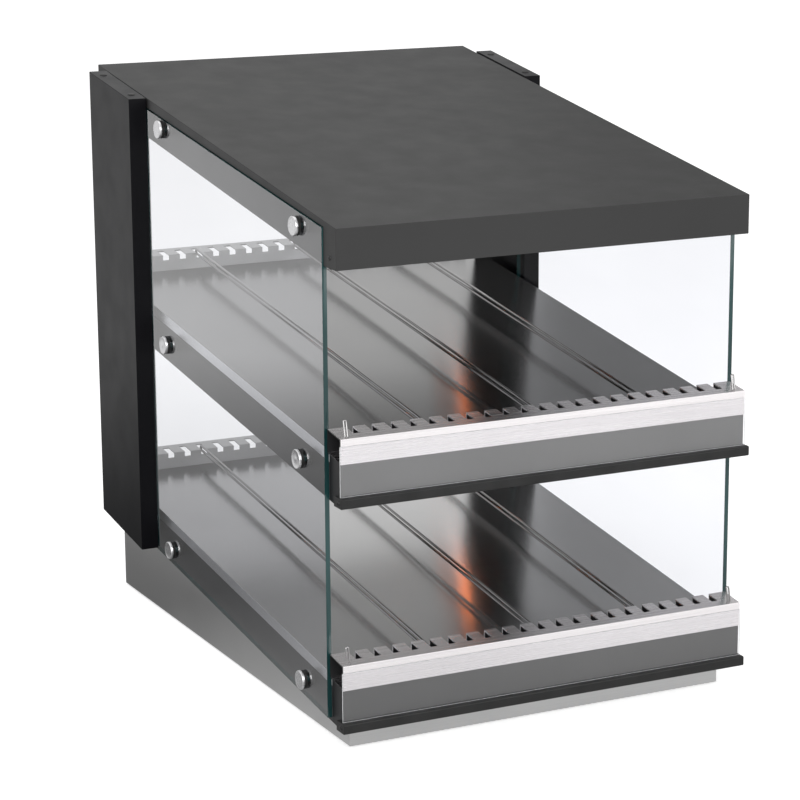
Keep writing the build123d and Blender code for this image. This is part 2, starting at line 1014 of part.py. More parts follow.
for side, name in zip(sides, ("upper", "lower")):
    x = side * switch_place
    half_width = rocker_opening_width / 2 - rocker_gap
    with BuildPart() as rocker:
        prism(
            [
                (pivot_y - rocker_tail, panel_middle - rocker_reach + rocker_tail),
                (pivot_y - rocker_tail, panel_middle + rocker_reach - rocker_tail),
                (pivot_y + rocker_end, panel_middle + rocker_reach),
                (pivot_y + rocker_centre, panel_middle),
                (pivot_y + rocker_end, panel_middle - rocker_reach),
            ],
            x - half_width,
            x + half_width,
        )
        pin_reach = rocker_opening_width / 2 + housing_wall - rocker_gap
        x_rod(x - pin_reach, x + pin_reach, pivot_y, panel_middle, rocker_pin)
    pivot = Axis((x, pivot_y, panel_middle), (1, 0, 0))
    finish(rocker.part.rotate(pivot, -rocker_tilt), f"{name}_switch_rocker")

# Thermostats with their shafts, and the knobs that turn on them.
shaft_end = panel_face + shaft_length
with BuildPart() as thermostats:
    for side in sides:
        x = side * thermostat_place
        half = thermostat_body / 2
        body_back = panel_under - thermostat_body_depth
        block(x - half, x + half, body_back, panel_under, panel_middle - half, panel_middle + half)
        y_rod(x, panel_middle, panel_under, shaft_end, shaft_radius)
finish(thermostats.part, "thermostats")

for side, name in zip(sides, ("upper", "lower")):
    x = side * thermostat_place
    foot = panel_face + knob_stand_off
    with BuildPart() as knob:
        y_rod(x, panel_middle, foot, foot + knob_skirt, knob_radius)
        grip_edges = knob.edges().filter_by(GeomType.CIRCLE).sort_by(Axis.Y)[-1]
        chamfer(grip_edges, length=cap_chamfer)
        with BuildSketch(Plane.XZ.offset(-foot - knob_grip_length)) as grip:
            with Locations((x, panel_middle)):
                SlotOverall(2 * (knob_radius - knob_grip_margin), knob_grip_width, rotation=90)
        extrude(to_extrude=grip.sketch, amount=knob_grip_length - knob_skirt)
        y_rod(
            x,
            panel_middle,
            foot,
            shaft_end + knob_stand_off,
            shaft_radius + shaft_clearance,
            Mode.SUBTRACT,
        )
    finish(knob.part, f"{name}_thermostat_knob")

with BuildPart() as pilot_lamps:
    for side in sides:
        x = side * lamp_place
        y_rod(x, panel_middle, panel_under - lamp_length, panel_face + lamp_length, lamp_radius)
        y_rod(x, panel_middle, panel_face, panel_face + sheet, lamp_flange)
finish(pilot_lamps.part, "pilot_lamps")

with BuildPart() as cable_gland:
    y_rod(gland_place, panel_middle, panel_under - gland_radius, panel_face, gland_thread)
    with BuildSketch(Plane.XZ.offset(-panel_face - knob_skirt)) as nut:
        with Locations((gland_place, panel_middle)):
            RegularPolygon(gland_radius, 6)
    extrude(to_extrude=nut.sketch, amount=knob_skirt)
    y_rod(gland_place, panel_middle, panel_face + knob_skirt, panel_face + 2 * knob_skirt, gland_thread)
    y_rod(
        gland_place,
        panel_middle,
        panel_under - gland_radius,
        panel_face + 2 * knob_skirt,
        gland_bore,
        Mode.SUBTRACT,
    )
finish(cable_gland.part, "cable_gland")
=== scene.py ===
import json
import math

import bmesh
import bpy
from mathutils import Matrix, Vector


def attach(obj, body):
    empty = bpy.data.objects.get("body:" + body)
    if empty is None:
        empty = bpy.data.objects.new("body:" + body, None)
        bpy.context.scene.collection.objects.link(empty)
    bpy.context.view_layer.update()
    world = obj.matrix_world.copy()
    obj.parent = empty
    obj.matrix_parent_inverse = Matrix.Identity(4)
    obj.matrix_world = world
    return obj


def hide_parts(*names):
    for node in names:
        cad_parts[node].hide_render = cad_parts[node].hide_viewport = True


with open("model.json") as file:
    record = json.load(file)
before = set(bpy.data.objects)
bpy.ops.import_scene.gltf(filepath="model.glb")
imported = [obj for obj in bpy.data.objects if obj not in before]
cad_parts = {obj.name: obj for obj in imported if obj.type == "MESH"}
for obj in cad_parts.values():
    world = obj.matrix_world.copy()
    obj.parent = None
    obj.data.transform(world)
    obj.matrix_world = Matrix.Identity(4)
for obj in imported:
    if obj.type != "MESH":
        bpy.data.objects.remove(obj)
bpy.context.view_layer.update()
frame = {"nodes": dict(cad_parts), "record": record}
nodes = frame["nodes"]
slot_of = {part["node"]: part["material_slot"] for part in frame["record"]["subparts"]}

# Camera, at the place the photograph was taken from.
lens = bpy.data.cameras.new("camera")
lens.sensor_fit = "HORIZONTAL"
lens.sensor_width = 36.0
lens.lens = 125.86945
lens.shift_x = -0.1507038
lens.shift_y = 0.0552661
lens.clip_start = 0.05
lens.clip_end = 60.0
camera = bpy.data.objects.new("camera", lens)
camera.location = (-1.5891452, -3.2599500, 1.1781371)
camera.rotation_euler = [math.radians(turn) for turn in (75.8774512, -0.2616499, -28.2739186)]
bpy.context.scene.collection.objects.link(camera)
bpy.context.scene.camera = camera

# Places of the case's main lines, in metres.
SIDES = (-1, 1)
ROOF_HEIGHT = 0.6915
ROOF_SLOPE = math.tan(math.radians(8.0))
SHELF_HEIGHT = {"upper": 0.411, "lower": 0.130}
SHELF_SLOPE = {"upper": math.tan(math.radians(7.45)), "lower": math.tan(math.radians(6.9))}
DECK_FRONT = -0.352
DECK_HALF_WIDTH = 0.272
RAIL_FACE = -0.388
RAIL_TOP_RISE = 0.0251
RAIL_END = 0.2783
RAIL_WALL = 0.004
BOX_DROP = 0.0813
FASCIA_FACE = -0.386
FASCIA_HEIGHT = 0.049
GLASS_OUTER = 0.282
COLUMN_TOP = 0.6924
PANEL_FACE = 0.371
PANEL_MIDDLE = 0.066
COIL_MIDDLE = 0.268

# Glass fixings
KNOB_ROWS = (-0.282, 0.150)
KNOB_DROP = 0.0305
CANOPY_KNOB_DROP = 0.0264
CAP_SLEEVE = 0.0036

# Wire dividers
DIVIDER_PLACES = {"left": -0.150, "centre": 0.0, "right": 0.150}
WIRE_RADIUS = 0.00175
WIRE_SIDES = 16
FRONT_LEG = -0.366
INNER_LEG = -0.358
BACK_BEND = 0.372
TOP_RUN_RISE = 0.0235
LOW_RUN_RISE = 0.017
WIRE_FOOT_RISE = 0.008
WIRE_BENDS = (0.005, 0.00315, 0.00315, 0.005)

# Small wire loops at the front rails' ends
LOOP_PLACE = 0.267
LOOP_SETBACK = 0.0065
LOOP_SINK = 0.00315
LOOP_LEAN = math.radians(13)
LOOP_HALF_SPAN = 0.0017
LOOP_HEIGHT = 0.0229
LOOP_BENDS = (0.0016, 0.0016)
LOOP_WIRE_RADIUS = 0.0011
LOOP_WIRE_SIDES = 14

# Screws, plugs, feet and rear controls
SCREW_RADIUS = 0.003
TRIM_SCREW_HEIGHT = 0.0012
TRIM_SCREW_SEAT = 0.2815
TRIM_GAP = 0.0015
TRIM_MIDDLE = 0.00625
RETURN_SCREW_SEAT = 0.280
RETURN_SCREW_SETBACK = 0.0175
RETURN_SCREW_RISE = 0.0125
PANEL_SCREW_HEIGHT = 0.0016
PANEL_SCREW_PLACE = 0.142
PANEL_SCREW_ROWS = (0.034, 0.098)
PLUG_PLACE = 0.29455
PLUG_ROWS = (0.224, 0.329)
FOOT_PLACE = 0.218
FOOT_ROWS = (-0.3225, 0.3535)
LAMP_PLACE = 0.018
SWITCH_PLACE = 0.050
SWITCH_PIVOT = 0.3705
DIAL_PLACE = 0.098
DIAL_STEPS = 19
DIAL_STEP = math.radians(15)
STEPS_PER_NUMBER = 3
DIAL_RING = 0.0178
NUMBER_RING = 0.0228
NUMBER_SIZE = 0.0052
KNOB_TOP = 0.0176
PRINT_DEPTH = 0.00012

# How far edges are rounded over, and the angle from which an edge counts as one.
SHEET_EASE = 0.0004
COVER_EASE = 0.0007
TRIM_EASE = 0.0008
STRIP_EASE = 0.0003
MOULDED_EASE = 0.0006
GLASS_EASE = 0.0006
TICKET_COVER_EASE = 0.0002
SHARP = math.radians(32)

# Outlines that are turned round an axis: radius and height, in metres.
CAP_OUTLINE = (
    (0.0, 0.0069),
    (0.0020, 0.0069),
    (0.0024, 0.0068),
    (0.0104, 0.0068),
    (0.0108, 0.0070),
    (0.0112, 0.0070),
    (0.0118, 0.0065),
    (0.0120, 0.0059),
    (0.0120, 0.0038),
    (0.0116, 0.0035),
    (0.0116, 0.0),
    (0.0, 0.0),
)
PLUG_OUTLINE = (
    (0.0, 0.0012),
    (0.0025, 0.0011),
    (0.0042, 0.0008),
    (0.0049, 0.0004),
    (0.0050, 0.0),
    (0.0, 0.0),
)
FOOT_OUTLINE = (
    (0.0, 0.0015),
    (0.0070, 0.0015),
    (0.0085, 0.0),
    (0.0138, 0.0),
    (0.0147, 0.0008),
    (0.0150, 0.0022),
    (0.0145, 0.0030),
    (0.0150, 0.0038),
    (0.0145, 0.0046),
    (0.0150, 0.0054),
    (0.0148, 0.0080),
    (0.0, 0.0080),
)
LAMP_OUTLINE = (
    (0.0, -0.0065),
    (0.0049, -0.0065),
    (0.0049, 0.0),
    (0.0065, 0.0),
    (0.0065, 0.0010),
    (0.0060, 0.0015),
    (0.0050, 0.0015),
    (0.0050, 0.0026),
    (0.0045, 0.0037),
    (0.0034, 0.0045),
    (0.0018, 0.0049),
    (0.0, 0.0050),
)
OFF_SIGN_OUTLINE = (
    (0.0017, 0.0),
    (0.0025, 0.0),
    (0.0025, PRINT_DEPTH),
    (0.0017, PRINT_DEPTH),
    (0.0017, 0.0),
)
# A screw's head, as shares of its radius and height.
PAN_OUTLINE = (
    (0.0, 1.0),
    (0.45, 0.97),
    (0.75, 0.82),
    (0.93, 0.52),
    (1.0, 0.15),
    (1.0, 0.0),
    (0.0, 0.0),
)


def roof(y):
    """Height of the canopy's upper face."""
    return ROOF_HEIGHT + ROOF_SLOPE * y


def deck(shelf, y):
    """Height of a shelf's deck."""
    return SHELF_HEIGHT[shelf] + SHELF_SLOPE[shelf] * y


# Finishes


def new_finish(name):
    """A finish with its node tree and shader."""
    finish = bpy.data.materials.new(name)
    finish.use_nodes = True
    tree = finish.node_tree
    return finish, tree, tree.nodes["Principled BSDF"]


def grey(level):
    """A neutral colour."""
    return (level, level, level)


def maths(tree, operation, first, second=0.0, clamp=False):
    """A sum on two values, each a number or a node's output."""
    node = tree.nodes.new("ShaderNodeMath")
    node.operation = operation
    node.use_clamp = clamp
    for place, value in zip(node.inputs, (first, second)):
        if isinstance(value, bpy.types.NodeSocket):
            tree.links.new(value, place)
        else:
            place.default_value = value
    return node.outputs["Value"]


def spread_out(tree, source, ends, results):
    """Turn a value between two ends into one between two results."""
    node = tree.nodes.new("ShaderNodeMapRange")
    for name, value in zip(("From Min", "From Max", "To Min", "To Max"), (*ends, *results)):
        node.inputs[name].default_value = value
    tree.links.new(source, node.inputs["Value"])
    return node.outputs["Result"]


def mixed(tree, share, first, second):
    """One shader that gives way to another by a share."""
    node = tree.nodes.new("ShaderNodeMixShader")
    tree.links.new(share, node.inputs["Fac"])
    tree.links.new(first, node.inputs[1])
    tree.links.new(second, node.inputs[2])
    return node.outputs["Shader"]


def cover_with(tree, shader):
    """Give a finish's surface its shader."""
    tree.links.new(shader, tree.nodes["Material Output"].inputs["Surface"])


def own_place(tree):
    """The piece's own coordinates."""
    return tree.nodes.new("ShaderNodeTexCoord").outputs["Object"]


def placed(tree, **settings):
    """The piece's own coordinates, moved or stretched."""
    node = tree.nodes.new("ShaderNodeMapping")
    for name, value in settings.items():
        node.inputs[name].default_value = value
    tree.links.new(own_place(tree), node.inputs["Vector"])
    return node.outputs["Vector"]


def grain(tree, scale, stretch=(1.0, 1.0, 1.0), detail=4.0):
    """Noise on the piece's own coordinates, drawn out along the axes where stretch is small."""
    noise = tree.nodes.new("ShaderNodeTexNoise")
    noise.inputs["Scale"].default_value = scale
    noise.inputs["Detail"].default_value = detail
    tree.links.new(placed(tree, Scale=stretch), noise.inputs["Vector"])
    return noise.outputs["Fac"]


def bands(tree, direction, scale, vector, distortion=0.0):
    """Even bands across one direction."""
    wave = tree.nodes.new("ShaderNodeTexWave")
    wave.wave_type = "BANDS"
    wave.bands_direction = direction
    wave.inputs["Scale"].default_value = scale
    wave.inputs["Distortion"].default_value = distortion
    tree.links.new(vector, wave.inputs["Vector"])
    return wave.outputs["Fac"]


def between(tree, source, low, high):
    """Turn a grain into a value that moves between low and high."""
    return spread_out(tree, source, (0.3, 0.7), (low, high))


def tones(tree, source, dark, light):
    """Turn a grain into a colour that moves between two tones."""
    ramp = tree.nodes.new("ShaderNodeValToRGB")
    for stop, position, tone in zip(ramp.color_ramp.elements, (0.3, 0.7), (dark, light)):
        stop.position = position
        stop.color = (*tone, 1.0)
    tree.links.new(source, ramp.inputs["Fac"])
    return ramp.outputs["Color"]


def relief(tree, shader, source, depth, strength):
    """Let a grain raise the surface by a small depth."""
    bump = tree.nodes.new("ShaderNodeBump")
    bump.inputs["Strength"].default_value = strength
    bump.inputs["Distance"].default_value = depth
    tree.links.new(source, bump.inputs["Height"])
    tree.links.new(bump.outputs["Normal"], shader.inputs["Normal"])


def coloured(tree, shader, source, dark, light):
    """Give a shader its colour from a grain."""
    tree.links.new(tones(tree, source, dark, light), shader.inputs["Base Color"])


def roughened(tree, shader, source, rough):
    """Give a shader its roughness from a grain."""
    tree.links.new(between(tree, source, *rough), shader.inputs["Roughness"])


def powder_coat(name, dark, light, rough, shine):
    """Baked powder coat: a slight mottle, fine orange peel and an uneven sheen."""
    finish, tree, shader = new_finish(name)
    coloured(tree, shader, grain(tree, 7.0, detail=3.0), dark, light)
    roughened(tree, shader, grain(tree, 24.0), rough)
    orange_peel = grain(tree, 900.0, detail=2.0)
    relief(tree, shader, orange_peel, 0.00003, 0.3)
    shader.inputs["Specular IOR Level"].default_value = shine
    return finish


# Scratches that run along the case's width.
ALONG_X = (3.0, 1400.0, 1400.0)


def brushed_steel(name, dark, light, rough, stretch=ALONG_X, turn=0.0, depth=0.00004):
    """Brushed stainless steel: long fine scratches one way, with a soft cloudiness across them."""
    finish, tree, shader = new_finish(name)
    scratches = grain(tree, 1.0, stretch, detail=6.0)
    clouds = grain(tree, 9.0, detail=2.0)
    blend = tree.nodes.new("ShaderNodeMix")
    blend.inputs["Factor"].default_value = 0.4
    tree.links.new(scratches, blend.inputs["A"])
    tree.links.new(clouds, blend.inputs["B"])
    coloured(tree, shader, blend.outputs["Result"], dark, light)
    roughened(tree, shader, scratches, rough)
    relief(tree, shader, scratches, depth, 0.3)
    shader.inputs["Metallic"].default_value = 1.0
    shader.inputs["Anisotropic"].default_value = turn
    if turn > 0:
        across = tree.nodes.new("ShaderNodeTangent")
        across.direction_type = "RADIAL"
        across.axis = "X"
        tree.links.new(across.outputs["Tangent"], shader.inputs["Tangent"])
    return finish


def moulded(name, dark, light, rough, pitch=600.0):
    """Moulded plastic or rubber with a fine spark-eroded grain."""
    finish, tree, shader = new_finish(name)
    coloured(tree, shader, grain(tree, 30.0), dark, light)
    roughened(tree, shader, grain(tree, 90.0), rough)
    relief(tree, shader, grain(tree, pitch, detail=2.0), 0.00005, 0.4)
    shader.inputs["Specular IOR Level"].default_value = 0.22
    return finish


def clear_sheet(name, tint, roughness, gain):
    """Thin clear sheet: what is behind it shows through, and both its faces mirror as one."""
    finish, tree, shader = new_finish(name)
    tree.nodes.remove(shader)
    through = tree.nodes.new("ShaderNodeBsdfTransparent")
    lighter = tuple(min(1.0, part + 0.012) for part in tint)
    tint_runs = tones(tree, grain(tree, 5.0, detail=2.0), tint, lighter)
    tree.links.new(tint_runs, through.inputs["Color"])
    mirror = tree.nodes.new("ShaderNodeBsdfGlossy")
    roughened(tree, mirror, grain(tree, 14.0), (roughness * 0.5, roughness))
    fresnel = tree.nodes.new("ShaderNodeFresnel")
    fresnel.inputs["IOR"].default_value = 1.5
    facing = tree.nodes.new("ShaderNodeNewGeometry")
    from_outside = maths(tree, "SUBTRACT", 1.0, facing.outputs["Backfacing"])
    one_face = maths(tree, "MULTIPLY", fresnel.outputs["Fac"], from_outside)
    both_faces = maths(tree, "MULTIPLY", one_face, gain, clamp=True)
    cover_with(tree, mixed(tree, both_faces, through.outputs["BSDF"], mirror.outputs["BSDF"]))
    return finish


def glass_edge():
    """Polished edge of float glass: deep green with lighter runs."""
    finish, tree, shader = new_finish("glass_edge")
    runs = grain(tree, 1.0, (40.0, 40.0, 6.0))
    coloured(tree, shader, runs, (0.003, 0.020, 0.021), (0.014, 0.052, 0.052))
    roughened(tree, shader, grain(tree, 60.0), (0.08, 0.2))
    relief(tree, shader, grain(tree, 400.0), 0.00002, 0.3)
    return finish


def sawn_clear_edge():
    """Sawn edge of the clear ticket cover, which gathers light."""
    finish, tree, shader = new_finish("clear_cover_edge")
    marks = grain(tree, 1.0, (300.0, 300.0, 900.0))
    coloured(tree, shader, marks, (0.55, 0.56, 0.57), (0.80, 0.81, 0.82))
    roughened(tree, shader, marks, (0.25, 0.5))
    return finish


def glowing_quartz():
    """Quartz tube round a glowing coil: bright turns with darker gaps, hottest in its middle."""
    finish, tree, shader = new_finish("quartz_tube")
    place = own_place(tree)
    turns = bands(tree, "Y", 90.0, place, 0.6)
    glow = tones(tree, turns, (0.85, 0.12, 0.02), (1.0, 0.33, 0.09))
    tree.links.new(glow, shader.inputs["Base Color"])
    tree.links.new(glow, shader.inputs["Emission Color"])
    roughened(tree, shader, grain(tree, 200.0), (0.08, 0.2))
    along = tree.nodes.new("ShaderNodeSeparateXYZ")
    tree.links.new(place, along.inputs["Vector"])
    from_middle = maths(tree, "SUBTRACT", along.outputs["Y"], COIL_MIDDLE)
    distance = maths(tree, "ABSOLUTE", from_middle)
    heat = spread_out(tree, distance, (0.008, 0.034), (9.0, 0.6))
    tree.links.new(heat, shader.inputs["Emission Strength"])
    return finish


def fired_ceramic():
    """Unglazed steatite of the tube holders."""
    finish, tree, shader = new_finish("ceramic")
    coloured(tree, shader, grain(tree, 160.0), (0.55, 0.52, 0.46), (0.72, 0.69, 0.62))
    roughened(tree, shader, grain(tree, 300.0), (0.55, 0.8))
    relief(tree, shader, grain(tree, 1200.0), 0.00008, 0.5)
    return finish


def lamp_lens():
    """Amber lens of the pilot lamps, with moulded rings inside."""
    finish, tree, shader = new_finish("lamp_lens")
    rings = bands(tree, "Z", 260.0, placed(tree, Location=(0.0, 0.0, -PANEL_MIDDLE)))
    coloured(tree, shader, rings, (0.45, 0.10, 0.010), (0.85, 0.26, 0.03))
    roughened(tree, shader, grain(tree, 300.0), (0.08, 0.18))
    shader.inputs["Coat Weight"].default_value = 0.6
    return finish


def print_white():
    """Pad-printed white of the knobs and switches."""
    finish, tree, shader = new_finish("printed_white")
    coloured(tree, shader, grain(tree, 500.0), (0.62, 0.62, 0.60), (0.78, 0.78, 0.76))
    roughened(tree, shader, grain(tree, 700.0), (0.45, 0.65))
    return finish


GLASS_TINT = (0.890, 0.894, 0.910)
DECK_ROUGH = (0.14, 0.18)
DECK_TURN = 0.85
DECK_RELIEF = 0.000003
finishes = {
    "canopy_coat": powder_coat("canopy_coat", grey(0.034), grey(0.037), (0.44, 0.5), 0.1),
    "black_coat": powder_coat(
        "black_coat", (0.012, 0.012, 0.013), (0.017, 0.017, 0.018), (0.38, 0.48), 0.25
    ),
    "column_coat": powder_coat(
        "column_coat", (0.003, 0.003, 0.004), (0.005, 0.005, 0.006), (0.3, 0.38), 0.08
    ),
    "black_plastic": moulded("black_plastic", grey(0.012), grey(0.018), (0.42, 0.55)),
    "reflector_steel": brushed_steel("reflector_steel", grey(0.26), grey(0.34), (0.34, 0.44)),
    "deck_steel": brushed_steel(
        "deck_steel",
        grey(0.255),
        (0.285, 0.285, 0.283),
        DECK_ROUGH,
        turn=DECK_TURN,
        depth=DECK_RELIEF,
    ),
    "rail_steel": brushed_steel(
        "rail_steel",
        (0.84, 0.81, 0.82),
        (0.92, 0.89, 0.90),
        (0.2, 0.3),
        turn=0.6,
        depth=0.000006,
    ),
    "strip_grey": powder_coat("strip_grey", grey(0.125), grey(0.140), (0.36, 0.46), 0.3),
    "clear_cover": clear_sheet("clear_cover", (0.965, 0.965, 0.97), 0.06, 2.6),
    # The chrome wire's base is kept dark: painted shade for the dark surroundings the wires mirror.
    "chrome_wire": brushed_steel(
        "chrome_wire",
        (0.25, 0.245, 0.245),
        (0.36, 0.355, 0.355),
        (0.035, 0.08),
        (160.0, 6.0, 160.0),
    ),
    "heater_silicone": moulded(
        "heater_silicone", (0.30, 0.045, 0.018), (0.42, 0.07, 0.03), (0.5, 0.7), 900.0
    ),
    "side_glass": clear_sheet("side_glass", GLASS_TINT, 0.012, 1.85),
    "fixing_steel": brushed_steel(
        "fixing_steel", (0.52, 0.52, 0.53), (0.68, 0.68, 0.69), (0.24, 0.36), (120.0, 300.0, 300.0)
    ),
    "black_rubber": moulded("black_rubber", grey(0.012), grey(0.022), (0.62, 0.8)),
    "quartz_tube": glowing_quartz(),
    "ceramic": fired_ceramic(),
    "base_steel": brushed_steel(
        "base_steel", grey(0.50), grey(0.57), (0.3, 0.4), turn=0.3, depth=0.00001
    ),
    "control_plastic": moulded(
        "control_plastic", (0.014, 0.014, 0.015), (0.026, 0.026, 0.028), (0.34, 0.48)
    ),
    "rocker_plastic": moulded("rocker_plastic", grey(0.012), grey(0.020), (0.22, 0.34)),
    "lamp_lens": lamp_lens(),
}
tray_steel = brushed_steel("tray_steel", grey(0.52), grey(0.62), (0.28, 0.38))
# The rear rails' steel is a darker copy of the tray's steel: painted shade.
rear_rail_painted_shade = brushed_steel("rear_rail_painted_shade", grey(0.38), grey(0.46), (0.28, 0.38))
# The deck's turned-down sides are the deck's own sheet, made much lighter: painted light.
deck_side_painted_light = brushed_steel("deck_side_painted_light", grey(0.80), grey(0.88), (0.3, 0.4))
# The lower deck is the same steel as the upper one; its lighter tone is painted light.
lower_deck_painted_light = brushed_steel(
    "lower_deck_painted_light",
    grey(0.47),
    (0.51, 0.51, 0.508),
    DECK_ROUGH,
    turn=DECK_TURN,
    depth=DECK_RELIEF,
)
# The lower ticket strip is the same grey as the upper one; its darker tone is painted shade.
strip_grey_painted_shade = powder_coat("strip_grey_painted_shade", grey(0.062), grey(0.074), (0.36, 0.46), 0.3)
inner_glass = clear_sheet("side_glass_inner", GLASS_TINT, 0.012, 0.35)
edge_of_glass = glass_edge()
edge_of_cover = sawn_clear_edge()
printed = print_white()
blackened = brushed_steel(
    "blackened_steel",
    (0.030, 0.030, 0.031),
    (0.055, 0.055, 0.056),
    (0.3, 0.45),
    (200.0, 200.0, 200.0),
)
# Each shelf takes its own deck steel and strip grey: painted light on the lower deck, painted shade
# on the lower strip.
deck_finish = {"upper": finishes["deck_steel"], "lower": lower_deck_painted_light}
strip_finish = {"upper": finishes["strip_grey"], "lower": strip_grey_painted_shade}

for name, node in nodes.items():
    for place in node.material_slots:
        place.material = finishes[slot_of[name]]


# Making pieces


def set_shading(bm):
    """Smooth faces that break at the real corners."""
    bm.normal_update()
    for face in bm.faces:
        face.smooth = True
    for edge in bm.edges:
        edge.smooth = not edge.is_manifold or edge.calc_face_angle() < SHARP


def put(bm, name, slot, body="case", stands_for=(), shown=None, extra=()):
    """Keep a finished mesh as a piece that rides on its body, in its slot's finish or another."""
    mesh = bpy.data.meshes.new(name)
    bm.to_mesh(mesh)
    bm.free()
    for finish in (shown or finishes[slot], *extra):
        mesh.materials.append(finish)
    piece = bpy.data.objects.new(name, mesh)
    bpy.context.scene.collection.objects.link(piece)
    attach(piece, body)
    if stands_for:
        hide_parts(*stands_for)
    return piece


def add_in(bm, part):
    """Add a part's mesh to a larger one, and let the part go."""
    held = bpy.data.meshes.new("part")
    part.to_mesh(held)
    part.free()
    bm.from_mesh(held)
    bpy.data.meshes.remove(held)


def face_out(bm):
    """Turn all faces outwards."""
    bmesh.ops.recalc_face_normals(bm, faces=bm.faces)


def merged_copy(name):
    """A copy of a solid's mesh with its loose triangles joined into whole faces."""
    bm = bmesh.new()
    bm.from_mesh(nodes[name].data)
    bmesh.ops.remove_doubles(bm, verts=bm.verts, dist=0.000002)
    bmesh.ops.dissolve_limit(
        bm, angle_limit=math.radians(0.6), verts=bm.verts, edges=bm.edges
    )
    bm.normal_update()
    return bm


def ease_edges(bm, width, segments=2):
    """Round the sharp edges over, as folding, sawing or tumbling leaves them."""
    corners = [edge for edge in bm.edges if edge.is_manifold and edge.calc_face_angle() > SHARP]
    bmesh.ops.bevel(
        bm,
        geom=corners,
        offset=width,
        offset_type="OFFSET",
        segments=segments,
        profile=0.5,
        affect="EDGES",
        material=-1,
        clamp_overlap=True,
    )


def eased(name, width, segments=2, body="case", shown=None, within=None, lining=None):
    """Put an eased copy in place of a solid, with flats kept flat and, if told, a lining within."""
    bm = merged_copy(name)
    ease_edges(bm, width, segments)
    for face in bm.faces:
        face.smooth = True
        if within:
            face.material_index = int(within(face.normal, face.calc_center_median()))
    extra = (lining,) if lining else ()
    piece = put(bm, f"{name}_eased", slot_of[name], body, (name,), shown, extra)
    flats = piece.modifiers.new("flats", "WEIGHTED_NORMAL")
    flats.keep_sharp = True
    flats.weight = 80
    return piece


def turned(bm, outline, centre, axis, steps):
    """Turn an outline round an axis through a centre."""
    axis = Vector(axis).normalized()
    across = axis.orthogonal().normalized()
    centre = Vector(centre)
    points = [bm.verts.new(centre + across * radius + axis * height) for radius, height in outline]
    line = [bm.edges.new(pair) for pair in zip(points, points[1:])]
    bmesh.ops.spin(
        bm,
        geom=points + line,
        cent=centre,
        axis=axis,
        angle=math.tau,
        steps=steps,
        use_merge=True,
        use_duplicate=False,
    )
    bmesh.ops.remove_doubles(bm, verts=bm.verts, dist=0.000001)


def parts_of(kind, geometry):
    """The parts of one kind in what an operator returns."""
    return [part for part in geometry if isinstance(part, kind)]


def bent_wire(bm, corners, bends, radius, around):
    """Carry a round wire from corner to corner, turning each one on its own bend."""
    heading = (corners[1] - corners[0]).normalized()
    start = Matrix.Translation(corners[0]) @ heading.to_track_quat("Z", "Y").to_matrix().to_4x4()
    made = bmesh.ops.create_circle(bm, segments=around, radius=radius, matrix=start)
    ring = list({edge for vert in made["verts"] for edge in vert.link_edges})
    here = corners[0]
    for number in range(1, len(corners)):
        corner = corners[number]
        heading = (corner - here).normalized()
        last = number == len(corners) - 1
        stop = corner
        if not last:
            leaving = (corners[number + 1] - corner).normalized()
            angle = heading.angle(leaving)
            bend = bends[number - 1]
            stop = corner - heading * bend * math.tan(angle / 2)
        drawn = bmesh.ops.extrude_edge_only(bm, edges=ring)["geom"]
        ends = parts_of(bmesh.types.BMVert, drawn)
        bmesh.ops.translate(bm, verts=ends, vec=stop - here)
        ring = [
            edge for edge in parts_of(bmesh.types.BMEdge, drawn) if set(edge.verts) <= set(ends)
        ]
        here = stop
        if not last:
            inward = (leaving - heading * leaving.dot(heading)).normalized()
            bow = bmesh.ops.spin(
                bm,
                geom=ring,
                cent=stop + inward * bend,
                axis=heading.cross(leaving).normalized(),
                angle=angle,
                steps=6,
                use_duplicate=False,
            )["geom_last"]
            ring = parts_of(bmesh.types.BMEdge, bow)
            here = corner + leaving * bend * math.tan(angle / 2)
    bmesh.ops.holes_fill(bm, edges=[edge for edge in bm.edges if edge.is_boundary], sides=0)
    face_out(bm)


def pan_screw(bm, centre, axis, height):
    """A pan head with a cross recess cut into its crown."""
    head = bmesh.new()
    outline = [(SCREW_RADIUS * across, height * up) for across, up in PAN_OUTLINE]
    turned(head, outline, (0, 0, 0), (0, 0, 1), 24)
    arm = SCREW_RADIUS * 0.13
    reach = SCREW_RADIUS * 0.58
    for normal in ((1, 0, 0), (0, 1, 0)):
        for cut in (-reach, -arm, arm, reach):
            bmesh.ops.bisect_plane(
                head,
                geom=head.verts[:] + head.edges[:] + head.faces[:],
                plane_co=Vector(normal) * cut,
                plane_no=normal,
            )
    crown = []
    for face in head.faces:
        spot = face.calc_center_median()
        along = max(abs(spot.x), abs(spot.y))
        beside = min(abs(spot.x), abs(spot.y))
        if spot.z > height * 0.5 and beside < arm and along < reach:
            crown.append(face)
    sunk = bmesh.ops.extrude_face_region(head, geom=crown)["geom"]
    bmesh.ops.delete(head, geom=crown, context="FACES")
    recess_floor = parts_of(bmesh.types.BMVert, sunk)
    bmesh.ops.translate(head, verts=recess_floor, vec=(0, 0, -height * 0.55))
    face_out(head)
    facing = Vector(axis).to_track_quat("Z", "Y").to_matrix().to_4x4()
    bmesh.ops.transform(head, matrix=Matrix.Translation(centre) @ facing, verts=head.verts)
    add_in(bm, head)


# Sheet metal: folds and sawn edges eased.
for name in ("canopy_cover", "left_column", "right_column"):
    eased(name, COVER_EASE, 3)
bpy.data.objects["left_column_eased"].visible_glossy = False
for name in ("canopy_left_side", "canopy_right_side", "canopy_reflector", "column_liners"):
    eased(name, SHEET_EASE)


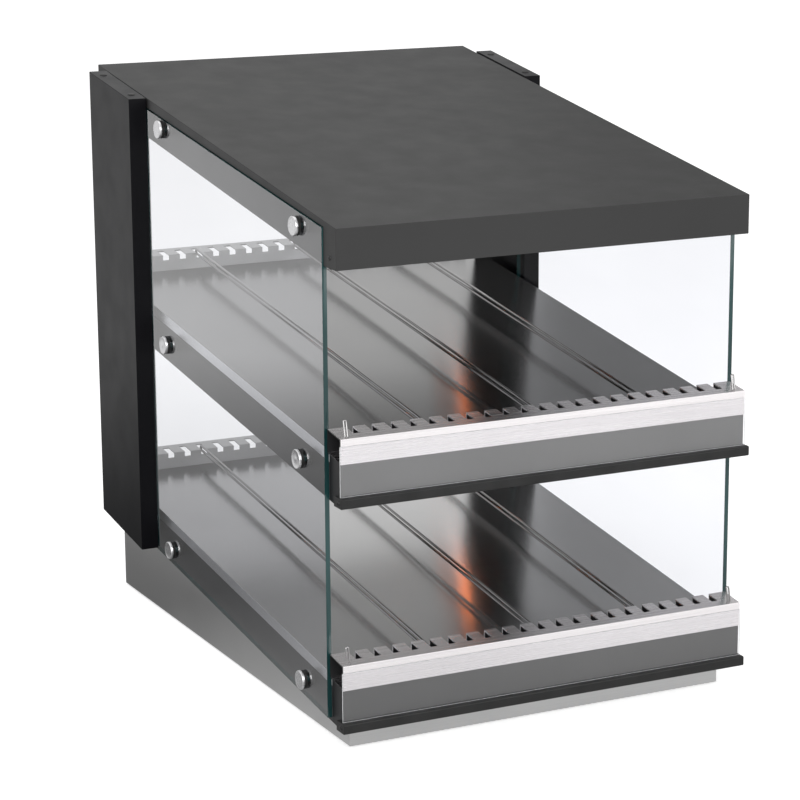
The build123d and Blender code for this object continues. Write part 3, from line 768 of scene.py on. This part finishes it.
def in_rail(normal, spot):
    """True for the front rail's unlit hollow, lined black as painted shade, and for its blackened
    ends.
    """
    behind_band = normal.y > 0.5 and spot.y < RAIL_FACE + RAIL_WALL
    before_deck = normal.y < -0.5 and spot.y > RAIL_FACE + RAIL_WALL
    at_end = abs(normal.x) > 0.9 and abs(spot.x) > RAIL_END - 0.001
    return normal.z < -0.3 or behind_band or before_deck or at_end


def at_deck_side(normal, spot):
    """True for the outer faces of the deck's turned-down sides, which take painted light."""
    return abs(normal.x) > 0.9 and abs(spot.x) > DECK_HALF_WIDTH - 0.001


for shelf in SHELF_HEIGHT:
    eased(
        f"{shelf}_deck",
        SHEET_EASE,
        shown=deck_finish[shelf],
        within=at_deck_side,
        lining=deck_side_painted_light,
    )
    for part, shown in (
        ("left_skirt", None),
        ("right_skirt", None),
        ("under_tray", tray_steel),
        ("rear_rail", rear_rail_painted_shade),
        ("front_box", None),
    ):
        eased(f"{shelf}_{part}", SHEET_EASE, shown=shown)
    # The front rail's hollow is lined in black coat: painted shade.
    eased(f"{shelf}_front_rail", SHEET_EASE, within=in_rail, lining=finishes["black_coat"])
    eased(f"{shelf}_ticket_strip", STRIP_EASE, shown=strip_finish[shelf])
    eased(f"{shelf}_bottom_trim", TRIM_EASE, 3)
for name in (
    "base_plinth",
    "base_floor",
    "control_panel",
    "tube_holders",
    "switch_housings",
    "cable_gland",
    "thermostats",
):
    eased(name, SHEET_EASE)
for name in ("upper", "lower"):
    eased(f"{name}_switch_rocker", MOULDED_EASE, 3, f"{name}_switch")
    eased(f"{name}_thermostat_knob", MOULDED_EASE, 3, f"{name}_thermostat")


# Clear pieces: faces let light through, edges hold their own finish.
def clear_piece(name, outwards, width, edge_finish, inner_finish):
    """Put an eased clear sheet in place of a solid, with a finish for each face and the edges."""
    bm = merged_copy(name)
    ease_edges(bm, width)
    bm.normal_update()
    for face in bm.faces:
        facing = face.normal.dot(Vector(outwards))
        face.material_index = 0 if facing > 0.98 else 2 if facing < -0.98 else 1
    set_shading(bm)
    for face in bm.faces:
        face.smooth = face.material_index == 1
    put(
        bm,
        f"{name}_polished",
        slot_of[name],
        stands_for=(name,),
        extra=(edge_finish, inner_finish),
    )


clear_piece("left_glass", (-1, 0, 0), GLASS_EASE, edge_of_glass, inner_glass)
clear_piece("right_glass", (1, 0, 0), GLASS_EASE, edge_of_glass, inner_glass)
for shelf in SHELF_HEIGHT:
    clear_piece(
        f"{shelf}_ticket_cover",
        (0, -1, 0),
        TICKET_COVER_EASE,
        edge_of_cover,
        finishes["clear_cover"],
    )


# Wire dividers and end loops
for shelf in SHELF_HEIGHT:
    for place, x in DIVIDER_PLACES.items():
        foot = deck(shelf, DECK_FRONT) + WIRE_FOOT_RISE
        corners = [
            Vector((x, FRONT_LEG, foot)),
            Vector((x, FRONT_LEG, deck(shelf, FRONT_LEG) + TOP_RUN_RISE)),
            Vector((x, BACK_BEND, deck(shelf, BACK_BEND) + TOP_RUN_RISE)),
            Vector((x, BACK_BEND, deck(shelf, BACK_BEND) + LOW_RUN_RISE)),
            Vector((x, INNER_LEG, deck(shelf, INNER_LEG) + LOW_RUN_RISE)),
            Vector((x, INNER_LEG, foot)),
        ]
        wire = bmesh.new()
        bent_wire(wire, corners, WIRE_BENDS, WIRE_RADIUS, WIRE_SIDES)
        set_shading(wire)
        name = f"{shelf}_{place}_divider"
        put(wire, f"{name}_wire", "chrome_wire", f"{name}_body", (name,))
    loops = bmesh.new()
    seat = deck(shelf, DECK_FRONT) + RAIL_TOP_RISE - LOOP_SINK
    rise = Vector((0, math.sin(LOOP_LEAN), math.cos(LOOP_LEAN))) * LOOP_HEIGHT
    half = Vector((LOOP_HALF_SPAN, 0, 0))
    for side in SIDES:
        foot = Vector((side * LOOP_PLACE, RAIL_FACE + LOOP_SETBACK, seat))
        corners = [foot - half, foot - half + rise, foot + half + rise, foot + half]
        loop = bmesh.new()
        bent_wire(loop, corners, LOOP_BENDS, LOOP_WIRE_RADIUS, LOOP_WIRE_SIDES)
        set_shading(loop)
        add_in(loops, loop)
    put(loops, f"{shelf}_end_loops_wire", "chrome_wire", stands_for=(f"{shelf}_end_loops",))


# Glass fixings: a turned bright cap on a dark sleeve, one at each stud.
knob_seats = [(y, roof(y) - CANOPY_KNOB_DROP) for y in KNOB_ROWS]
knob_seats += [(y, deck(shelf, y) - KNOB_DROP) for shelf in SHELF_HEIGHT for y in KNOB_ROWS]
caps = bmesh.new()
for side in SIDES:
    for y, z in knob_seats:
        turned(caps, CAP_OUTLINE, (side * GLASS_OUTER, y, z), (side, 0, 0), 48)
face_out(caps)
for face in caps.faces:
    on_sleeve = abs(face.calc_center_median().x) <= GLASS_OUTER + CAP_SLEEVE
    face.material_index = int(on_sleeve)
set_shading(caps)
put(
    caps,
    "glass_caps_turned",
    "fixing_steel",
    stands_for=("glass_caps",),
    extra=(finishes["black_plastic"],),
)


# Screws in the trims' ends and the canopy's side returns
screws = bmesh.new()
for side in SIDES:
    for shelf in SHELF_HEIGHT:
        box_bottom = deck(shelf, DECK_FRONT) + RAIL_TOP_RISE - BOX_DROP
        z = box_bottom - TRIM_GAP + TRIM_MIDDLE
        pan_screw(screws, (side * TRIM_SCREW_SEAT, RAIL_FACE, z), (side, 0, 0), TRIM_SCREW_HEIGHT)
    y = FASCIA_FACE + RETURN_SCREW_SETBACK
    z = roof(FASCIA_FACE) - FASCIA_HEIGHT + RETURN_SCREW_RISE
    pan_screw(screws, (side * RETURN_SCREW_SEAT, y, z), (side, 0, 0), TRIM_SCREW_HEIGHT)
set_shading(screws)
put(
    screws,
    "trim_screws_cross",
    "fixing_steel",
    stands_for=("trim_screws",),
    shown=blackened,
)


# Column plugs: domed caps in the columns' sloping tops
plugs = bmesh.new()
for side in SIDES:
    for y in PLUG_ROWS:
        top = (side * PLUG_PLACE, y, COLUMN_TOP + ROOF_SLOPE * y)
        turned(plugs, PLUG_OUTLINE, top, (0, -ROOF_SLOPE, 1), 28)
face_out(plugs)
set_shading(plugs)
put(plugs, "column_plugs_domed", "black_plastic", stands_for=("column_plugs",))


# Rubber feet: ribbed round the side, with a hollow under the middle
feet = bmesh.new()
for side in SIDES:
    for y in FOOT_ROWS:
        turned(feet, FOOT_OUTLINE, (side * FOOT_PLACE, y, 0.0), (0, 0, 1), 48)
face_out(feet)
set_shading(feet)
put(feet, "rubber_feet_ribbed", "black_rubber", stands_for=("rubber_feet",))


# Pilot lamps: a rounded rim round a domed lens
lamps = bmesh.new()
for side in SIDES:
    turned(lamps, LAMP_OUTLINE, (side * LAMP_PLACE, PANEL_FACE, PANEL_MIDDLE), (0, 1, 0), 36)
face_out(lamps)
set_shading(lamps)
put(lamps, "pilot_lamps_domed", "lamp_lens", stands_for=("pilot_lamps",))


# Marks of the rear controls: dial graduations with numbers, pointers, and on and off signs
def add_mark(bm, size, matrix):
    """A thin printed bar, laid where the matrix says."""
    made = bmesh.ops.create_grid(bm, x_segments=1, y_segments=1, size=0.5)
    bmesh.ops.scale(bm, verts=made["verts"], vec=(*size, 1.0))
    bar = list({face for vert in made["verts"] for face in vert.link_faces})
    raised = bmesh.ops.extrude_face_region(bm, geom=bar)["geom"]
    tops = parts_of(bmesh.types.BMVert, raised)
    bmesh.ops.translate(bm, verts=tops, vec=(0, 0, PRINT_DEPTH))
    bmesh.ops.transform(bm, matrix=matrix, verts=list(set(made["verts"]) | set(tops)))


def print_numbers(bm, text, size, matrix):
    """Dial numbers as thin raised print."""
    words = bpy.data.curves.new("numbers", "FONT")
    words.body = text
    words.size = size
    words.align_x = "CENTER"
    words.align_y = "CENTER"
    words.extrude = PRINT_DEPTH / 2
    holder = bpy.data.objects.new("numbers", words)
    mesh = bpy.data.meshes.new_from_object(holder)
    mesh.transform(matrix)
    bm.from_mesh(mesh)
    bpy.data.meshes.remove(mesh)
    bpy.data.objects.remove(holder)
    bpy.data.curves.remove(words)


def shift(x, y, z):
    """A move, as a matrix."""
    return Matrix.Translation((x, y, z))


face_back = Matrix.Rotation(math.radians(-90), 4, "X") @ Matrix.Rotation(math.pi, 4, "Z")
marks = bmesh.new()
for side in SIDES:
    dial = shift(side * DIAL_PLACE, PANEL_FACE, PANEL_MIDDLE) @ face_back
    for step in range(DIAL_STEPS):
        numbered = step % STEPS_PER_NUMBER == 0
        turn = Matrix.Rotation(-DIAL_STEP * step, 4, "Z")
        size = (0.0007, 0.003 if numbered else 0.0018)
        add_mark(marks, size, dial @ turn @ shift(0, DIAL_RING, 0))
        if numbered:
            spot = turn @ Vector((0, NUMBER_RING, 0))
            text = str(step // STEPS_PER_NUMBER)
            print_numbers(marks, text, NUMBER_SIZE, dial @ Matrix.Translation(spot))
face_out(marks)
put(marks, "dial_marks", "control_plastic")

rocker_rest = Matrix.Rotation(math.radians(-10), 4, "X")
rocker_fall = math.atan2(0.0017, 0.0114)
SIGN_RISE = 0.00435
SIGN_OFFSET = 0.0057
for side, name in zip(SIDES, ("upper", "lower")):
    pointer = bmesh.new()
    tip = shift(side * DIAL_PLACE, PANEL_FACE + KNOB_TOP, PANEL_MIDDLE) @ face_back
    add_mark(pointer, (0.0012, 0.0085), tip @ shift(0, 0.0065, 0))
    face_out(pointer)
    put(
        pointer,
        f"{name}_knob_pointer",
        "control_plastic",
        f"{name}_thermostat",
        shown=printed,
    )

    signs = bmesh.new()
    pivot = shift(side * SWITCH_PLACE, SWITCH_PIVOT, PANEL_MIDDLE) @ rocker_rest
    on_half, off_half = (
        pivot
        @ shift(0, SIGN_RISE, up * SIGN_OFFSET)
        @ Matrix.Rotation(-up * rocker_fall, 4, "X")
        @ face_back
        for up in (1, -1)
    )
    add_mark(signs, (0.0009, 0.0048), on_half)
    ring = bmesh.new()
    turned(ring, OFF_SIGN_OUTLINE, (0, 0, 0), (0, 0, 1), 32)
    bmesh.ops.transform(ring, matrix=off_half, verts=ring.verts)
    add_in(signs, ring)
    face_out(signs)
    put(
        signs,
        f"{name}_switch_signs",
        "rocker_plastic",
        f"{name}_switch",
        shown=printed,
    )


# Screws that hold the recessed panel
panel_screws = bmesh.new()
for side in SIDES:
    for z in PANEL_SCREW_ROWS:
        seat = (side * PANEL_SCREW_PLACE, PANEL_FACE, z)
        pan_screw(panel_screws, seat, (0, 1, 0), PANEL_SCREW_HEIGHT)
set_shading(panel_screws)
put(panel_screws, "panel_screws", "fixing_steel")


# Floor and surround
def flat_sheet(name, half_width, matrix):
    """A square sheet of the studio, laid where the matrix says."""
    bm = bmesh.new()
    bmesh.ops.create_grid(bm, x_segments=1, y_segments=1, size=half_width, matrix=matrix)
    mesh = bpy.data.meshes.new(name)
    bm.to_mesh(mesh)
    bm.free()
    sheet = bpy.data.objects.new(name, mesh)
    bpy.context.scene.collection.objects.link(sheet)
    return sheet


floor = flat_sheet("floor", 12.0, Matrix.Identity(4))
paper, tree, shader = new_finish("white_floor")
coloured(tree, shader, grain(tree, 3.0), grey(0.84), grey(0.86))
shader.inputs["Roughness"].default_value = 0.9
shader.inputs["Specular IOR Level"].default_value = 0.1
shader.inputs["Emission Color"].default_value = (1.0, 1.0, 1.0, 1.0)
path = tree.nodes.new("ShaderNodeLightPath")
lift = maths(tree, "MULTIPLY", path.outputs["Is Camera Ray"], 0.5)
tree.links.new(lift, shader.inputs["Emission Strength"])
# In reflections the floor is darker near the case, round a spot behind it: painted shade on the
# mirrored floor.
away = tree.nodes.new("ShaderNodeVectorMath")
away.operation = "DISTANCE"
away.inputs[1].default_value = (-0.3, 0.55, 0.0)
tree.links.new(own_place(tree), away.inputs[0])
mirrored = tree.nodes.new("ShaderNodeEmission")
painted_floor_shade = spread_out(tree, away.outputs["Value"], (0.27, 1.4), (0.2, 1.0))
tree.links.new(painted_floor_shade, mirrored.inputs["Strength"])
in_mirror = maths(
    tree, "MAXIMUM", path.outputs["Is Glossy Ray"], path.outputs["Is Transmission Ray"]
)
cover_with(tree, mixed(tree, in_mirror, shader.outputs["BSDF"], mirrored.outputs["Emission"]))
floor.data.materials.append(paper)

world = bpy.data.worlds.new("studio")
bpy.context.scene.world = world
world.use_nodes = True
tree = world.node_tree
sky = tree.nodes["Background"]
sky.inputs["Color"].default_value = (1.0, 1.0, 1.0, 1.0)
path = tree.nodes.new("ShaderNodeLightPath")
direct = maths(tree, "MAXIMUM", path.outputs["Is Camera Ray"], path.outputs["Is Glossy Ray"])
seen = maths(tree, "MAXIMUM", direct, path.outputs["Is Transmission Ray"])
tree.links.new(spread_out(tree, seen, (0.0, 1.0), (0.7, 1.0)), sky.inputs["Strength"])


# Soft lamps
def soft_lamp(name, place, target, size, power):
    """A square softbox that faces its target."""
    data = bpy.data.lights.new(name, "AREA")
    data.shape = "SQUARE"
    data.size = size
    data.energy = power
    lamp = bpy.data.objects.new(name, data)
    lamp.location = place
    lamp.rotation_euler = (Vector(target) - Vector(place)).to_track_quat("-Z", "Y").to_euler()
    bpy.context.scene.collection.objects.link(lamp)


soft_lamp("front_left_box", (-1.6, -2.8, 1.7), (0, 0, 0.35), 2.2, 66.0)
soft_lamp("front_right_box", (1.6, -2.6, 1.6), (0, 0, 0.35), 2.2, 28.0)
soft_lamp("top_box", (0.0, 0.6, 3.2), (0, 0, 0.4), 2.4, 12.0)

# Grey card on the right, which only the polished metal and glass see.
upright = Matrix.Translation((1.5, 0.9, 1.1)) @ Matrix.Rotation(math.radians(-90), 4, "Y")
card = flat_sheet("grey_card", 1.3, upright)
card.visible_camera = False
card.visible_diffuse = False
card.visible_shadow = False
card_finish, tree, shader = new_finish("grey_card")
coloured(tree, shader, grain(tree, 2.0), grey(0.46), grey(0.50))
shader.inputs["Roughness"].default_value = 0.9
card.data.materials.append(card_finish)

bpy.context.scene.view_settings.view_transform = "Standard"
